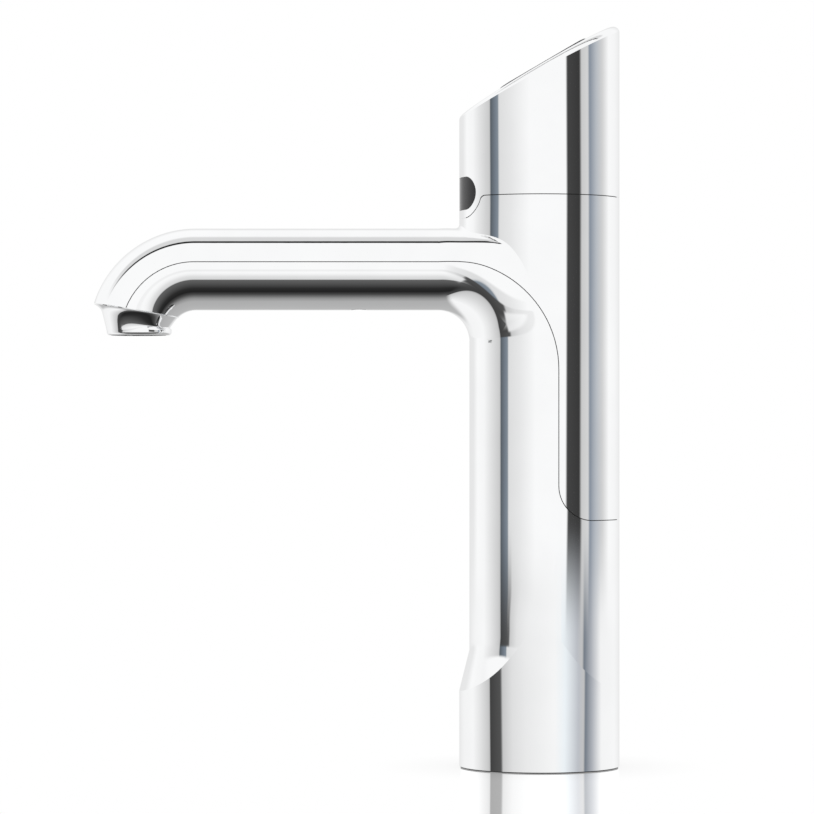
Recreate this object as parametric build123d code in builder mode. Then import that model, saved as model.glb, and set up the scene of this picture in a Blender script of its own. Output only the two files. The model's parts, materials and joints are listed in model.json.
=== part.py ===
"""Boiling water tap: an upright column with a slanted key head and a horizontal spout.

Millimetres, +Z up. The origin is on the column's axis at the deck, the spout points to -X,
and the outside is symmetric about the XZ plane.
"""

import os
from math import cos, pi, radians, sin, sqrt

from build123d import *

os.makedirs("parts", exist_ok=True)

# Fits
seam_gap = 0.3
joint_gap = 0.3
slide_gap = 0.2
seat_gap = 0.1
tube_gap = 0.05
cut_reach = 400.0

# Column, with the shallow recess down its front
column_radius = 30.0
recess_depth = 3.8
recess_join_x = 7.1
recess_join_step = 0.02
flare_bottom_z = 28.5
recess_bottom_z = 43.7
flare_top_z = 66.0
flare_side_bottom = 31.6
flare_side_top = 29.35
flare_lead = 2.5

# Spout
spout_radius = 15.3
spout_bore_radius = 12.8
spout_z = 186.3
bend_x = -128.7
bend_radius = 24.8
nozzle_x = -150.2
mouth_z = 170.9
mouth_tilt = 9.5

# Elbow, where the spout widens into the column
elbow_radius = 11.7
flare_turn = 34.0
shoulder_turn = 60.0
round_shoulder = 0.5523
full_shoulder = 0.17
elbow_step = 10
shoulder_power = 5
hood_end_x = -4.0
neck_fillet = 1.5

# Seam between the body and the cover behind it
seam_rise = 2.1
seam_elbow_radius = 40.0
cover_edge_x = 6.0
cover_bottom_z = 92.6
cover_corner_radius = 13.0
cover_bore_radius = 27.2
seam_land = 0.9
seal_width = 1.6
seal_depth = 0.5
hook_front_x = 24.3
hook_rear_x = 25.9
hook_width = 8.0
hook_bottom_z = 87.0
hook_top_z = 99.0

# Body cavity, foot and base
front_wall = 2.7
side_wall = 3.0
rear_wall = 3.5
foot_gap = 0.4
insert_radius = 24.0
insert_height = 16.0
socket_radius = 15.2
shoulder_top_z = 24.0
shoulder_bore_radius = 17.0
foot_seal_inner = 25.6
foot_seal_outer = 28.4
foot_seal_rim = 29.5
foot_seal_height = 1.8
base_screw_circle = 20.3
base_screw_turn = 60
base_screw_radius = 1.75
base_screw_length = 17.5
base_screw_depth = 5.0

# Head
head_seam_z = 213.0
head_mid_z = 261.0
head_slope = 30.4
cap_wall = 2.5
cap_top = 2.2
rim_fillet = 2.1
window_z = 214.2
window_width = 35.7
window_height = 12.3
window_outer_gap = 0.05
tongue_margin = 2.9
tongue_side_margin = 2.25
tongue_fillet = 2.0
gasket_inner = 27.7
gasket_outer = 28.9
gasket_depth = 0.8
gasket_front_x = -18.0
grub_z = 221.0
grub_radius = 1.5
grub_hex_share = 0.5
grub_length = 4.4
grub_sink = 0.3

# Key pad
pad_u = 1.33
pad_length = 37.0
pad_width = 35.0
pad_corner = 5.0
pad_edge_fillet = 0.6
pad_raise = 0.9
pad_flange = 1.2
pad_flange_thickness = 1.0
key_length = 14.2
key_width = 13.2
key_corner = 2.5
key_bar = 3.0
key_drop = 0.1
key_travel = 0.5
key_flange = 0.8
key_flange_thickness = 0.8
key_stem_radius = 2.0
lens_radius = 1.3
lens_offset = 4.4
dome_radius = 3.0
dome_height = 1.2
dome_taper = 35
board_depth = 7.0
board_thickness = 1.6
board_length = 34.0
board_width = 33.0
board_corner = 3.0
led_length = 2.0
led_width = 1.3
led_height = 0.7
led_gap = 0.02
plug_size = 9.0
plug_height = 4.0
plug_socket_z = 254.0
board_screw_u = 13.3
board_screw_v = 13.5
board_screw_radius = 1.0
board_screw_length = 7.0

# Inner frame and head carrier
ledge_top_z = 86.0
ledge_thickness = 8.0
ledge_front_x = 11.0
ledge_rear_x = 26.8
ledge_width = 25.0
frame_thickness = 3.0
frame_foot_x = 11.5
frame_foot_width = 22.0
strap_width = 20.0
strap_front_x = 19.0
disc_top_z = 207.0
disc_thickness = 4.0
disc_radius = 25.0
disc_front_x = -18.0
carrier_radius = 26.9
carrier_floor = 4.0
carrier_front_x = -18.7
carrier_wall = 2.2
bracket_width = 27.0
bracket_top_z = 222.0
skirt_top_z = 228.0
skirt_wall = 1.8
post_radius = 4.0
post_lean = 1.2
cable_hole_x = 13.6
cable_hole_radius = 3.6
head_screw_radius = 1.5
head_screw_length = 7.0
head_screw_side_x = 3.0
head_screw_side_y = 19.0
head_screw_front_x = -12.0
frame_screw_x = 15.3
frame_screw_y = 7.5
frame_screw_length = 8.0

# Sensor behind the front window
sensor_gap = 0.3
sensor_board_width = 30.0
sensor_board_height = 14.6
sensor_board_thickness = 1.6
sensor_screw_y = 11.2
sensor_screw_radius = 1.0
sensor_screw_length = 3.4
eye_radius = 2.5
eye_round_share = 0.8
eye_length = 5.0
eye_spacing = 12.0

# Water tubes and cable
boiling_radius = 4.0
cold_radius = 3.2
tube_wall = 0.8
boiling_x = 2.0
cold_x = -7.0
cold_y = 6.0
boiling_rise = 3.0
cold_drop = 2.5
boiling_end_shift = -3.0
cold_end_shift = 2.0
boiling_turn = 24.0
cold_turn = 18.5
tube_end_z = 168.4
tube_end_straight = 1.9
connector_radius = 5.2
connector_bottom_z = 16.6
connector_socket = 11.0
connector_web = 2.0
connector_web_radius = 2.2
connector_plate_radius = 16.8
connector_plate_thickness = 4.0
cable_radius = 2.2
cable_x = 11.4
cable_rear_x = 14.5
cable_head_x = 10.0
cable_low_z = 39.7
cable_bend_z = (68.0, 112.0, 200.0, 235.0)
cable_notch_x = 12.9
cable_notch_radius = 3.2
cable_top_z = 253.5
cable_turn = 60.0
cable_plug_radius = 3.8
plug_wall = 1.2
cable_plug_bottom_z = 17.6
cable_plug_socket = 3.0
clip_low_z = 58.0
clip_high_z = 128.0
clip_thickness = 5.0
clip_front_x = -15.4
clip_rear_x = 18.4
clip_width = 23.0
clip_corner = 6.0

# Spout clip and the screw under the spout
spout_screw_x = -67.7
spout_screw_radius = 1.6
spout_screw_length = 8.5
spout_screw_recess = 3.4
spout_screw_depth = 2.4
spout_boss_radius = 5.2
spout_boss_z = 176.0
spout_clip_length = 8.0
spout_clip_radius = 12.5
lug_length = 5.0
lug_radius = 13.8
lug_low_z = 190.0
lug_high_z = 194.0

# Nozzle
nozzle_radius = 12.1
nozzle_bottom_z = 161.6
nozzle_straight_z = 164.0
nozzle_bore_radius = 10.4
nozzle_edge = 1.1
neck_drops = (2.3, 4.5)
neck_radii = (13.7, 12.65)
spigot_radius = 11.8
spigot_height = 3.0
insert_recess = 0.7
insert_top_z = 171.0
ring_z = 165.0
ring_radius = 0.45

# Screw heads
screw_head_share = 1.85
screw_rise_share = 1.2
hex_share = 0.9

# Sizes worked out from the ones above
recess_front = column_radius - recess_depth
join_y = sqrt(column_radius**2 - recess_join_x**2)
join_reach = recess_join_x + recess_front
join_share = join_reach**2 / (join_y**2 / recess_join_x + 2 * join_reach)
front_centre_x = recess_join_x - join_share
front_radius_x = front_centre_x + recess_front
front_radius_y = front_radius_x * sqrt(recess_join_x / join_share) - recess_join_step
elbow_x = -recess_front - elbow_radius
elbow_z = spout_z - spout_radius - elbow_radius
bend_z = spout_z - bend_radius
seam_z = spout_z + seam_rise
seam_bend_radius = bend_radius + seam_rise
seam_elbow_x = cover_edge_x - seam_elbow_radius
cavity_front_x = front_wall - recess_front
cavity_rear_x = column_radius - rear_wall
cavity_x = (cavity_front_x + cavity_rear_x) / 2
cavity_radius_x = (cavity_rear_x - cavity_front_x) / 2
cavity_radius_y = column_radius - side_wall
slope_sin = sin(radians(head_slope))
slope_cos = cos(radians(head_slope))
head_room_radius = column_radius - cap_wall
key_pitch_u = key_length + 2 * slide_gap + key_bar
key_pitch_v = key_width + 2 * slide_gap + key_bar
plate_bottom = cap_top + seat_gap + pad_flange_thickness
key_flange_top = plate_bottom + joint_gap
key_stem_end = board_depth - dome_height - key_travel - tube_gap
board_bottom = board_depth + board_thickness
disc_bottom_z = disc_top_z - disc_thickness
carrier_bottom_z = disc_top_z + seat_gap
carrier_floor_z = carrier_bottom_z + carrier_floor
sensor_board_x = carrier_front_x - sensor_gap
sensor_face_x = sensor_board_x - sensor_board_thickness
boiling_z = spout_z + boiling_rise
cold_z = spout_z - cold_drop
boiling_end_x = nozzle_x + boiling_end_shift
cold_end_x = nozzle_x + cold_end_shift
tube_start_z = connector_bottom_z + connector_socket + connector_web
connector_top_z = tube_start_z + connector_socket
seam_top_z = head_seam_z - seam_gap

slope = Plane(
    origin=(0, 0, head_mid_z),
    x_dir=(slope_cos, 0, slope_sin),
    z_dir=(-slope_sin, 0, slope_cos),
)
tilt_sin = sin(radians(mouth_tilt))
tilt_cos = cos(radians(mouth_tilt))
mouth = Plane(
    origin=(nozzle_x, 0, mouth_z),
    x_dir=(tilt_cos, 0, -tilt_sin),
    z_dir=(tilt_sin, 0, tilt_cos),
)

# The mouth's plane cuts the bent tube in an oval whose two ends lie on the bend's circles.
mouth_rise = (nozzle_x - bend_x) * tilt_sin + (mouth_z - bend_z) * tilt_cos
mouth_run = (bend_x - nozzle_x) * tilt_cos + (mouth_z - bend_z) * tilt_sin
mouth_far = sqrt((bend_radius + spout_radius) ** 2 - mouth_rise**2)
mouth_near = sqrt((bend_radius - spout_radius) ** 2 - mouth_rise**2)
mouth_half = (mouth_far - mouth_near) / 2
mouth_shift = mouth_run - (mouth_far + mouth_near) / 2


def ease(share):
    """Smooth step from 0 to 1, level at both ends."""
    share = min(max(share, 0.0), 1.0)
    return share * share * (3 - 2 * share)


def elbow_plane(turn):
    """Plane through the elbow's bend axis, turned from upright towards the column."""
    across = sin(radians(turn))
    up = cos(radians(turn))
    return Plane(origin=(elbow_x, 0, elbow_z), x_dir=(across, 0, up), z_dir=(-up, 0, across))


def arm_form(inset):
    """Spout from its bent tip to the elbow and down the column's front, drawn in by an inset."""
    with BuildPart() as form:
        for turn in range(0, 91, elbow_step):
            widening = ease(turn / flare_turn)
            lengthening = ease(turn / 90)
            full_width = spout_radius + (front_radius_y - spout_radius) * widening
            full_inner = spout_radius + (front_radius_x - spout_radius) * lengthening
            middle = elbow_radius + full_inner
            half_width = full_width - inset
            inner = full_inner - inset
            level_share = cos(radians(turn)) / (elbow_radius + 2 * spout_radius)
            column_share = sin(radians(turn)) / (elbow_radius + 2 * front_radius_x)
            shares = level_share**shoulder_power + column_share**shoulder_power
            outer = shares ** (-1 / shoulder_power) - middle - inset
            handle = round_shoulder + full_shoulder * sin(pi * min(turn / shoulder_turn, 1))
            with BuildSketch(elbow_plane(turn)):
                with BuildLine():
                    EllipticalCenterArc((middle, 0), inner, half_width, 90, arc_size=90)
                    EllipticalCenterArc((middle, 0), inner, half_width, 180, arc_size=90)
                    Bezier(
                        (middle, -half_width),
                        (middle + handle * outer, -half_width),
                        (middle + outer, -handle * half_width),
                        (middle + outer, 0),
                    )
                    Bezier(
                        (middle + outer, 0),
                        (middle + outer, handle * half_width),
                        (middle + handle * outer, half_width),
                        (middle, half_width),
                    )
                make_face()
        loft()
        extrude(form.faces().filter_by(Axis.X).sort_by(Axis.X)[0], amount=elbow_x - bend_x)
        tip_face = form.faces().filter_by(Axis.X).sort_by(Axis.X)[0]
        tip_axis = Axis((bend_x, 0, bend_z), (0, -1, 0))
        revolve(tip_face, axis=tip_axis, revolution_arc=90)
        split(bisect_by=mouth, keep=Keep.TOP)
        column_face = form.faces().filter_by(Axis.Z).sort_by(Axis.Z)[0]
        extrude(column_face, amount=elbow_z - flare_bottom_z + flare_lead)
    return form.part


def bore_form(radius):
    """Round passage from the spout's mouth to the column's cavity."""
    with BuildPart() as bore:
        with BuildSketch(Plane.YZ.offset(cavity_x)):
            with Locations((0, spout_z)):
                Circle(radius)
        extrude(amount=bend_x - cavity_x)
        with BuildSketch(Plane.YZ.offset(bend_x)):
            with Locations((0, spout_z)):
                Circle(radius)
        revolve(axis=Axis((bend_x, 0, bend_z), (0, -1, 0)), revolution_arc=90)
    return bore.part


def cavity_form(margin, bottom_z, top_z):
    """Oval room inside the column, drawn in by a margin."""
    with BuildPart() as room:
        with BuildSketch(Plane.XY.offset(bottom_z)):
            with Locations((cavity_x, 0)):
                Ellipse(cavity_radius_x - margin, cavity_radius_y - margin)
        extrude(amount=top_z - bottom_z)
    return room.part


def cover_side(grow):
    """All that lies above and behind the body's seam, grown by a gap."""
    far_x = column_radius + cut_reach
    top_z = head_seam_z + cut_reach
    low_x = bend_x - seam_bend_radius
    tip_centre = (bend_x, bend_z)
    elbow_centre = (seam_elbow_x, seam_z - seam_elbow_radius)
    corner_centre = (cover_edge_x + cover_corner_radius, cover_bottom_z + cover_corner_radius)
    with BuildPart() as side:
        with BuildSketch(Plane.XZ.offset(-cut_reach / 2)) as profile:
            with BuildLine():
                CenterArc(tip_centre, seam_bend_radius, 90, 90)
                Line((bend_x, seam_z), (seam_elbow_x, seam_z))
                CenterArc(elbow_centre, seam_elbow_radius, 0, 90)
                Line(
                    (cover_edge_x, seam_z - seam_elbow_radius),
                    (cover_edge_x, cover_bottom_z + cover_corner_radius),
                )
                CenterArc(corner_centre, cover_corner_radius, 180, 90)
                Polyline(
                    (cover_edge_x + cover_corner_radius, cover_bottom_z),
                    (far_x, cover_bottom_z),
                    (far_x, top_z),
                    (low_x - cut_reach, top_z),
                    (low_x - cut_reach, bend_z),
                    (low_x, bend_z),
                )
            make_face()
            if grow:
                offset(amount=grow)
        extrude(amount=cut_reach)
    return side.part


def head_reach(grow):
    """All that lies above the head's seam, with the tongue round the window, grown by a gap."""
    seam_level = head_seam_z - grow
    tongue_width = window_width + 2 * tongue_side_margin + 2 * grow
    tongue_height = window_height + 2 * tongue_margin + 2 * grow
    with BuildPart() as reach:
        with BuildSketch(Plane.YZ) as front:
            with Locations((0, seam_level)):
                Rectangle(cut_reach, cut_reach, align=(Align.CENTER, Align.MIN))
            with Locations((0, window_z)):
                SlotOverall(tongue_width, tongue_height)
            corners = front.vertices().filter_by(
                lambda v: abs(v.Y - seam_level) < 0.01 and abs(v.X) < column_radius
            )
            fillet(corners, radius=tongue_fillet)
        extrude(amount=-cut_reach / 2)
        with BuildSketch(Plane.YZ):
            with Locations((0, seam_level)):
                Rectangle(cut_reach, cut_reach, align=(Align.CENTER, Align.MIN))
        extrude(amount=cut_reach / 2)
    return reach.part


def wall_form(inset):
    """Hood over the elbow joined to the round column, drawn in by an inset."""
    with BuildPart() as wall:
        add(arm_form(inset))
        with BuildSketch(Plane.YZ.offset(hood_end_x)):
            Rectangle(cut_reach, 2 * cut_reach)
        extrude(amount=cut_reach, mode=Mode.SUBTRACT)
        with BuildSketch(Plane.XY.offset(flare_top_z)):
            Circle(column_radius - inset)
        extrude(amount=head_seam_z - flare_top_z)
    return wall.part


def slope_room(radius, depth, bottom_z):
    """Round column from a level up to the head's slope, less a depth."""
    with BuildPart() as room:
        with BuildSketch(Plane.XY.offset(bottom_z)):
            Circle(radius)
        extrude(amount=head_mid_z + column_radius - bottom_z)
        split(bisect_by=slope.offset(-depth), keep=Keep.BOTTOM)
    return room.part


def screw(place, radius, length):
    """Cap screw whose head stands on a plane and whose shank goes down through it."""
    head_radius = radius * screw_head_share
    head_height = radius * screw_rise_share
    with BuildPart(place) as body:
        Cylinder(head_radius, head_height, align=(Align.CENTER, Align.CENTER, Align.MIN))
        Cylinder(radius, length, align=(Align.CENTER, Align.CENTER, Align.MAX))
        with BuildSketch(place.offset(head_height)):
            RegularPolygon(radius * hex_share, 6)
        extrude(amount=-head_height / 2, mode=Mode.SUBTRACT)
    return body.part


def upright_tube(low_z, x, y, level_z, end_x, turn_radius, outer):
    """Water tube from its connector up the column, along the spout and down to the nozzle."""
    tip_radius = level_z - tube_end_z - tube_end_straight
    with BuildPart() as tube:
        with BuildLine():
            FilletPolyline(
                (x, y, low_z),
                (x, y, level_z),
                (end_x, y, level_z),
                (end_x, y, tube_end_z),
                radius=(turn_radius, tip_radius),
            )
        with BuildSketch(Plane.XY.offset(low_z)):
            with Locations((x, y)):
                Circle(outer)
                Circle(outer - tube_wall, mode=Mode.SUBTRACT)
        sweep()
    return tube.part


def connector(x, y, tube_radius):
    """Push-in connector with one socket for the tube above and one for the tail below."""
    with BuildPart() as body:
        with BuildSketch(Plane.XY.offset(connector_bottom_z)):
            with Locations((x, y)):
                Circle(connector_radius)
                Circle(connector_web_radius, mode=Mode.SUBTRACT)
        extrude(amount=connector_top_z - connector_bottom_z)
        for level in (connector_bottom_z, tube_start_z):
            with BuildSketch(Plane.XY.offset(level)):
                with Locations((x, y)):
                    Circle(tube_radius + tube_gap)
            extrude(amount=connector_socket, mode=Mode.SUBTRACT)
    return body.part


arm = arm_form(0)
spout_bore = bore_form(spout_bore_radius)
tube_places = ((boiling_x, 0), (cold_x, -cold_y), (cold_x, cold_y))

# Flared foot of the recess: an oval cone that the round column trims
front_slope = recess_depth / (recess_bottom_z - flare_bottom_z)
side_slope = (flare_side_bottom - flare_side_top) / (flare_top_z - flare_bottom_z)
recess_start_z = flare_bottom_z - flare_lead
with BuildPart() as recess_flare:
    for level in (recess_start_z, flare_top_z):
        climb = level - flare_bottom_z
        with BuildSketch(Plane.XY.offset(level)):
            Ellipse(column_radius - front_slope * climb, flare_side_bottom - side_slope * climb)
    loft(ruled=True)
    with BuildSketch(Plane.XY.offset(recess_start_z)):
        Circle(column_radius)
    extrude(amount=flare_top_z - recess_start_z, mode=Mode.INTERSECT)

with BuildPart() as front_form:
    add(arm)
    with BuildSketch(Plane.YZ.offset(recess_join_x)):
        Rectangle(cut_reach, 2 * cut_reach)
    extrude(amount=cut_reach, mode=Mode.SUBTRACT)

with BuildPart() as seal_room:
    add(wall_form(seam_land))
    add(cover_side(seal_depth + tube_gap), mode=Mode.INTERSECT)

# Main body: foot, recessed column front and the lower half of the spout
with BuildPart() as main_body:
    with BuildSketch(Plane.XY.offset(foot_gap)):
        Circle(column_radius)
    extrude(amount=recess_start_z - foot_gap)
    add(recess_flare.part)
    with BuildSketch(Plane.XY.offset(recess_start_z)):
        with BuildLine():
            Line((recess_join_x, join_y), (recess_join_x, -join_y))
            ThreePointArc((recess_join_x, -join_y), (column_radius, 0), (recess_join_x, join_y))
        make_face()
    extrude(amount=elbow_z - recess_start_z)
    add(front_form.part)
    add(cover_side(0), mode=Mode.SUBTRACT)
    add(seal_room.part, mode=Mode.SUBTRACT)
    add(spout_bore, mode=Mode.SUBTRACT)
    add(cavity_form(0, shoulder_top_z, seam_top_z), mode=Mode.SUBTRACT)
    with BuildSketch():
        Circle(insert_radius + seat_gap)
    extrude(amount=insert_height, mode=Mode.SUBTRACT)
    with BuildSketch():
        Circle(shoulder_bore_radius)
    extrude(amount=shoulder_top_z, mode=Mode.SUBTRACT)
    with BuildSketch():
        Circle(foot_seal_outer + seat_gap)
        Circle(foot_seal_inner - seat_gap, mode=Mode.SUBTRACT)
    extrude(amount=foot_seal_height + seat_gap, mode=Mode.SUBTRACT)
    with BuildSketch(Plane.XY.offset(ledge_top_z - ledge_thickness)):
        with Locations((ledge_front_x, 0)):
            Rectangle(ledge_rear_x - ledge_front_x, ledge_width, align=(Align.MIN, Align.CENTER))
    extrude(amount=ledge_thickness)
    with BuildSketch(Plane.XY.offset(ledge_top_z)):
        with Locations((frame_screw_x, -frame_screw_y), (frame_screw_x, frame_screw_y)):
            Circle(head_screw_radius + tube_gap)
        with Locations((cable_notch_x, 0)):
            Circle(cable_notch_radius)
    extrude(amount=-ledge_thickness, mode=Mode.SUBTRACT)
    with BuildSketch(Plane.XY.offset(insert_height)):
        with PolarLocations(base_screw_circle, 3, start_angle=base_screw_turn):
            Circle(base_screw_radius + tube_gap)
    extrude(amount=shoulder_top_z - insert_height, mode=Mode.SUBTRACT)
    with BuildSketch(Plane.XY.offset(spout_boss_z)):
        with Locations((spout_screw_x, 0)):
            Circle(spout_boss_radius)
    extrude(amount=spout_z - spout_bore_radius - spout_boss_z - 1)
    with BuildSketch(Plane.XY.offset(spout_z - spout_radius + spout_screw_depth)):
        with Locations((spout_screw_x, 0)):
            Circle(spout_screw_recess)
    extrude(amount=-2 * spout_screw_depth, mode=Mode.SUBTRACT)
    with BuildSketch(Plane.XY.offset(spout_boss_z)):
        with Locations((spout_screw_x, 0)):
            Circle(spout_screw_radius + seat_gap)
    extrude(amount=-spout_radius, mode=Mode.SUBTRACT)
main_body.part.label = "main_body"
export_step(main_body.part, "parts/main_body.step")

with BuildPart() as lug_room:
    with BuildSketch(Plane.YZ.offset(spout_screw_x - lug_length / 2 - seam_gap)):
        with Locations((0, spout_z)):
            Circle(lug_radius + seam_gap)
        with Locations((0, lug_low_z - seam_gap)):
            Rectangle(
                cut_reach,
                lug_high_z - lug_low_z + 2 * seam_gap,
                align=(Align.CENTER, Align.MIN),
                mode=Mode.INTERSECT,
            )
    extrude(amount=lug_length + 2 * seam_gap)

# Cover: upper half of the spout, the neck and the rear of the column
with BuildPart() as spine_cover:
    add(wall_form(0))
    crease = spine_cover.edges().filter_by(
        lambda e: e.bounding_box().max.Z > seam_z + spout_radius / 2
        and e.bounding_box().min.Z > elbow_z
        and e.bounding_box().min.Z < seam_z
        and e.bounding_box().min.X > -column_radius - 1
        and e.bounding_box().max.X < hood_end_x + 1
    )
    fillet(crease, radius=neck_fillet)
    add(cover_side(-seam_gap), mode=Mode.INTERSECT)
    add(head_reach(seam_gap), mode=Mode.SUBTRACT)
    add(spout_bore, mode=Mode.SUBTRACT)
    with BuildSketch(Plane.XY.offset(cover_bottom_z)):
        Circle(cover_bore_radius)
    extrude(amount=head_seam_z - cover_bottom_z, mode=Mode.SUBTRACT)
    add(lug_room.part, mode=Mode.SUBTRACT)
    with BuildSketch(Plane.XY.offset(hook_bottom_z)):
        with Locations((hook_front_x, 0)):
            Rectangle(hook_rear_x - hook_front_x, hook_width, align=(Align.MIN, Align.CENTER))
    extrude(amount=hook_top_z - hook_bottom_z)
    with BuildSketch(Plane.XY.offset(cover_bottom_z + 2 * seam_gap)):
        with Locations((hook_front_x, 0)):
            Rectangle(
                cover_bore_radius + 1 - hook_front_x, hook_width, align=(Align.MIN, Align.CENTER)
            )
    extrude(amount=hook_top_z - cover_bottom_z - 2 * seam_gap)
spine_cover.part.label = "spine_cover"
export_step(spine_cover.part, "parts/spine_cover.step")

# Seal that lies on the body's stepped edge along the seam
with BuildPart() as cover_seal:
    add(wall_form(seam_land + tube_gap))
    add(cover_side(seal_depth), mode=Mode.INTERSECT)
    add(cover_side(tube_gap - seam_gap), mode=Mode.SUBTRACT)
    add(wall_form(seam_land + seal_width), mode=Mode.SUBTRACT)
cover_seal.part.label = "cover_seal"
export_step(cover_seal.part, "parts/cover_seal.step")

# Head cap: the slanted cap with the tongue that carries the sensor window
with BuildPart() as head_cap:
    add(slope_room(column_radius, 0, window_z - window_height))
    add(head_reach(0), mode=Mode.INTERSECT)
    fillet(head_cap.faces().sort_by(Axis.Z)[-1].edges(), radius=rim_fillet)
    add(slope_room(head_room_radius, cap_top, window_z - window_height), mode=Mode.SUBTRACT)
    with BuildSketch(Plane.YZ):
        with Locations((0, window_z)):
            SlotOverall(window_width, window_height)
    extrude(amount=-2 * column_radius, mode=Mode.SUBTRACT)
    with BuildSketch(slope.offset(-cap_top - 1)):
        with Locations((pad_u, 0)):
            RectangleRounded(
                pad_length + 2 * joint_gap, pad_width + 2 * joint_gap, pad_corner + joint_gap
            )
    extrude(amount=2 * cap_top, mode=Mode.SUBTRACT)
    with BuildSketch(Plane.YZ):
        with Locations((0, grub_z)):
            Circle(grub_radius + tube_gap)
    extrude(amount=2 * column_radius, mode=Mode.SUBTRACT)
    with BuildSketch(Plane.XY.offset(head_seam_z)):
        Circle(gasket_outer + seat_gap)
        Circle(gasket_inner - 2 * seam_gap, mode=Mode.SUBTRACT)
        with Locations((gasket_front_x - seat_gap, 0)):
            Rectangle(
                cut_reach, cut_reach, align=(Align.MIN, Align.CENTER), mode=Mode.INTERSECT
            )
    extrude(amount=gasket_depth, mode=Mode.SUBTRACT)
head_cap.part.label = "head_cap"
export_step(head_cap.part, "parts/head_cap.step")

# Gasket between the cap and the cover, open at the front where the tongue passes
with BuildPart() as head_gasket:
    with BuildSketch(Plane.XY.offset(seam_top_z + tube_gap)):
        Circle(gasket_outer)
        Circle(gasket_inner, mode=Mode.SUBTRACT)
        with Locations((gasket_front_x, 0)):
            Rectangle(
                cut_reach, cut_reach, align=(Align.MIN, Align.CENTER), mode=Mode.INTERSECT
            )
    extrude(amount=head_seam_z + gasket_depth - seam_top_z - 2 * tube_gap)
head_gasket.part.label = "head_gasket"
export_step(head_gasket.part, "parts/head_gasket.step")

# Carrier that holds the boards and the sensor inside the head
post_spots = []
for side_u in (-board_screw_u, board_screw_u):
    top_x = (pad_u + side_u) * slope_cos + board_bottom * slope_sin
    for side_v in (-board_screw_v, board_screw_v):
        post_spots.append((top_x + post_lean, side_v))
with BuildPart() as head_carrier:
    with BuildSketch(Plane.XY.offset(carrier_bottom_z)):
        Circle(carrier_radius)
        with Locations((carrier_front_x, 0)):
            Rectangle(
                cut_reach, cut_reach, align=(Align.MIN, Align.CENTER), mode=Mode.INTERSECT
            )
    extrude(amount=carrier_floor)
    with BuildSketch(Plane.XY.offset(carrier_bottom_z)):
        Circle(carrier_radius)
        Circle(carrier_radius - skirt_wall, mode=Mode.SUBTRACT)
        with Locations((carrier_front_x, 0)):
            Rectangle(
                cut_reach, cut_reach, align=(Align.MIN, Align.CENTER), mode=Mode.INTERSECT
            )
    extrude(amount=skirt_top_z - carrier_bottom_z)
    with BuildSketch(Plane.XY.offset(carrier_bottom_z)):
        with Locations((carrier_front_x, 0)):
            Rectangle(carrier_wall, bracket_width, align=(Align.MIN, Align.CENTER))
    extrude(amount=bracket_top_z - carrier_bottom_z)
    with BuildSketch(Plane.XY.offset(carrier_bottom_z)):
        with Locations(*post_spots):
            Circle(post_radius)
    extrude(amount=head_mid_z + column_radius - carrier_bottom_z)
    split(bisect_by=slope.offset(-board_bottom), keep=Keep.BOTTOM)
    with BuildSketch(Plane.XY.offset(carrier_bottom_z)):
        with Locations((cable_hole_x, 0)):
            Circle(cable_hole_radius)
        with Locations(
            (head_screw_side_x, -head_screw_side_y),
            (head_screw_side_x, head_screw_side_y),
            (head_screw_front_x, 0),
        ):
            Circle(head_screw_radius + seat_gap)
    extrude(amount=carrier_floor, mode=Mode.SUBTRACT)
    with BuildSketch(slope.offset(-board_bottom)):
        with Locations((pad_u, 0)):
            with GridLocations(2 * board_screw_u, 2 * board_screw_v, 2, 2):
                Circle(board_screw_radius + tube_gap)
    extrude(amount=-board_screw_length, mode=Mode.SUBTRACT)
    with BuildSketch(Plane.YZ):
        with Locations((0, grub_z)):
            Circle(grub_radius + tube_gap)
    extrude(amount=2 * column_radius, mode=Mode.SUBTRACT)
    with BuildSketch(Plane.YZ.offset(carrier_front_x)):
        with Locations((-sensor_screw_y, window_z), (sensor_screw_y, window_z)):
            Circle(sensor_screw_radius + tube_gap)
    extrude(amount=carrier_wall, mode=Mode.SUBTRACT)
head_carrier.part.label = "head_carrier"
export_step(head_carrier.part, "parts/head_carrier.step")

with BuildPart() as head_screws:
    for spot_x, spot_y in (
        (head_screw_side_x, -head_screw_side_y),
        (head_screw_side_x, head_screw_side_y),
        (head_screw_front_x, 0),
    ):
        place = Plane(origin=(spot_x, spot_y, carrier_floor_z + tube_gap))
        add(screw(place, head_screw_radius, head_screw_length))
head_screws.part.label = "head_screws"
export_step(head_screws.part, "parts/head_screws.step")

# Grub screw that locks the cap from behind
with BuildPart() as head_grub_screw:
    with BuildSketch(Plane.YZ.offset(column_radius - grub_sink)):
        with Locations((0, grub_z)):
            Circle(grub_radius)
    extrude(amount=-grub_length)
    with BuildSketch(Plane.YZ.offset(column_radius - grub_sink)):
        with Locations((0, grub_z)):
            RegularPolygon(grub_radius * grub_hex_share, 6)
    extrude(amount=-grub_length / 2, mode=Mode.SUBTRACT)
head_grub_screw.part.label = "head_grub_screw"
export_step(head_grub_screw.part, "parts/head_grub_screw.step")

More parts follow.
